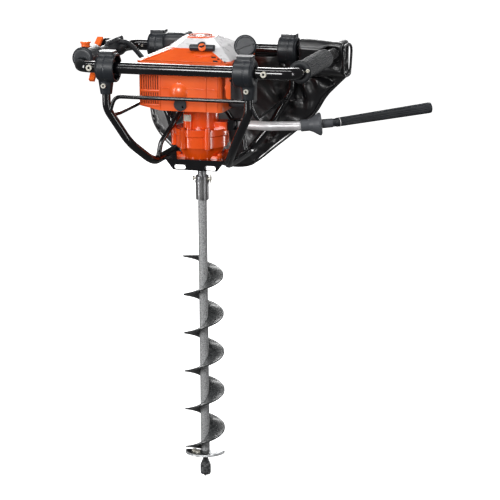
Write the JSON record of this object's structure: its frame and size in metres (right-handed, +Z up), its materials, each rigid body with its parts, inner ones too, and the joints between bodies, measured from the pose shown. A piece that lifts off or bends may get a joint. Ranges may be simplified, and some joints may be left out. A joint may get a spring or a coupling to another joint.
{
  "type": "ice fishing auger",
  "caption": "Petrol one-operator auger head with frame handles, brake bar, hip pad and a spiral bit.",
  "frame": {"origin": "tip of the centre point, on the drive axis", "axes": "+Z up the drive axis to the engine, +X towards the brake bar's side, +Y towards the operator"},
  "size_m": [0.7347, 0.419, 1.0207],
  "materials": {
    "black_paint": "gloss",
    "mount_plastic": "moulded, satin",
    "black_rubber": "matte",
    "orange_plastic": "gloss, moulded",
    "orange_paint": "gloss over cast metal",
    "control_orange": "satin",
    "bit_paint": "hammered grey",
    "blade_steel": "worn",
    "zinc_steel": "zinc plated",
    "spindle_steel": "turned",
    "bar_aluminium": "satin",
    "cast_aluminium": "as cast",
    "muffler_steel": "heat-proof matt",
    "housing_plastic": "moulded, satin",
    "tank_plastic": "moulded, satin",
    "cord": "braided",
    "vinyl": "coated fabric, semi-gloss"
  },
  "bodies": {
    "machine": {"cross_bars": "black_paint", "handle_tube_left": "black_paint", "handle_tube_right": "black_paint", "joint_spigots": "zinc_steel", "mount_front_left": "mount_plastic", "mount_front_right": "mount_plastic", "mount_rear_left": "mount_plastic", "mount_rear_right": "mount_plastic", "rubber_buffers": "black_rubber", "hoop_right": "black_paint", "hoop_left": "black_paint", "guard_rods": "black_paint", "brace_rods": "black_paint", "skid_plate": "black_paint", "gear_case_lower": "orange_paint", "gear_case_upper": "orange_paint", "bearings_and_seal": "spindle_steel", "frame_screws": "zinc_steel", "crankcase": "cast_aluminium", "cylinder": "cast_aluminium", "piston": "cast_aluminium", "spark_plug": "black_rubber", "muffler": "muffler_steel", "carburettor": "cast_aluminium", "shroud": "orange_plastic", "shroud_plug": "housing_plastic", "starter_cover": "orange_plastic", "fuel_tank": "tank_plastic", "air_filter_cover": "housing_plastic", "control_housing_upper": "housing_plastic", "control_housing_lower": "housing_plastic", "right_grip": "black_rubber", "throttle_conduit": "black_rubber", "brake_bracket": "black_paint", "pivot_pins": "zinc_steel", "hip_pad": "vinyl"},
    "auger": {"output_spindle": "spindle_steel", "output_gear": "spindle_steel", "bit_collar": "spindle_steel", "bit_shaft": "bit_paint", "bit_flight": "bit_paint", "cutting_blade": "blade_steel", "centre_point": "blade_steel", "bit_fasteners": "zinc_steel"},
    "layshaft_set": {"layshaft": "spindle_steel", "layshaft_wheel": "spindle_steel"},
    "drum": {"clutch_drum": "spindle_steel"},
    "crank": {"crankshaft": "spindle_steel", "flywheel": "cast_aluminium", "clutch_hub": "spindle_steel"},
    "pulley": {"starter_pulley": "housing_plastic"},
    "pull_grip": {"starter_grip": "housing_plastic", "starter_rope": "cord"},
    "tank_cap": {"fuel_cap": "housing_plastic"},
    "brake": {"brake_bar": "bar_aluminium", "brake_stop": "housing_plastic", "brake_sleeve": "black_rubber"},
    "button": {"stop_button": "control_orange"},
    "lever": {"lock_lever": "control_orange"},
    "trigger": {"throttle_trigger": "control_orange"}
  },
  "joints": [
    {"name": "auger_spin", "type": "hinge", "parent": "machine", "child": "auger", "pos_m": [0, 0, 0.688], "axis": [0, 0, 1], "continuous": true},
    {"name": "layshaft_spin", "type": "hinge", "parent": "machine", "child": "layshaft_set", "pos_m": [0, 0.026, 0.78], "axis": [0, 0, 1], "continuous": true},
    {"name": "clutch_drum_spin", "type": "hinge", "parent": "machine", "child": "drum", "pos_m": [0, 0, 0.8], "axis": [0, 0, 1], "continuous": true},
    {"name": "crank_spin", "type": "hinge", "parent": "machine", "child": "crank", "pos_m": [0, 0, 0.9], "axis": [0, 0, 1], "continuous": true},
    {"name": "starter_pull", "type": "slide", "parent": "machine", "child": "pull_grip", "axis": [0, -0.5, 0.866], "range_m": [0, 0.7], "stiffness_N_per_m": 10, "springref_m": -0.3},
    {"name": "pulley_spin", "type": "hinge", "parent": "machine", "child": "pulley", "pos_m": [0, 0, 0.971], "axis": [0, 0, 1], "range_deg": [0, 1700]},
    {"name": "fuel_cap_turn", "type": "hinge", "parent": "machine", "child": "tank_cap", "pos_m": [0.12355, -0.0697, 0.9951], "axis": [0.1503, -0.9418, 0.3006], "range_deg": [0, 90]},
    {"name": "brake_bar_swing", "type": "hinge", "parent": "machine", "child": "brake", "pos_m": [0.09, 0.012, 0.811], "axis": [0, 0, 1], "range_deg": [-12, 0]},
    {"name": "stop_button_press", "type": "slide", "parent": "machine", "child": "button", "axis": [0, 0, -1], "range_m": [0, 0.004], "stiffness_N_per_m": 400, "springref_m": -0.004},
    {"name": "lock_lever_press", "type": "hinge", "parent": "machine", "child": "lever", "pos_m": [-0.225, -0.051, 0.9745], "axis": [-1, 0, 0], "range_deg": [0, 8], "stiffness_Nm_per_rad": 0.05, "springref_deg": -34.38},
    {"name": "throttle_trigger_pull", "type": "hinge", "parent": "machine", "child": "trigger", "pos_m": [-0.225, -0.055, 0.9343], "axis": [-1, 0, 0], "range_deg": [0, 16], "stiffness_Nm_per_rad": 0.05, "springref_deg": -34.38}
  ],
  "couplings": [
    {"joint": "layshaft_spin", "follows": "auger_spin", "ratio": -4},
    {"joint": "clutch_drum_spin", "follows": "auger_spin", "ratio": 12},
    {"joint": "pulley_spin", "follows": "starter_pull", "rad_per_m": 41.667}
  ]
}
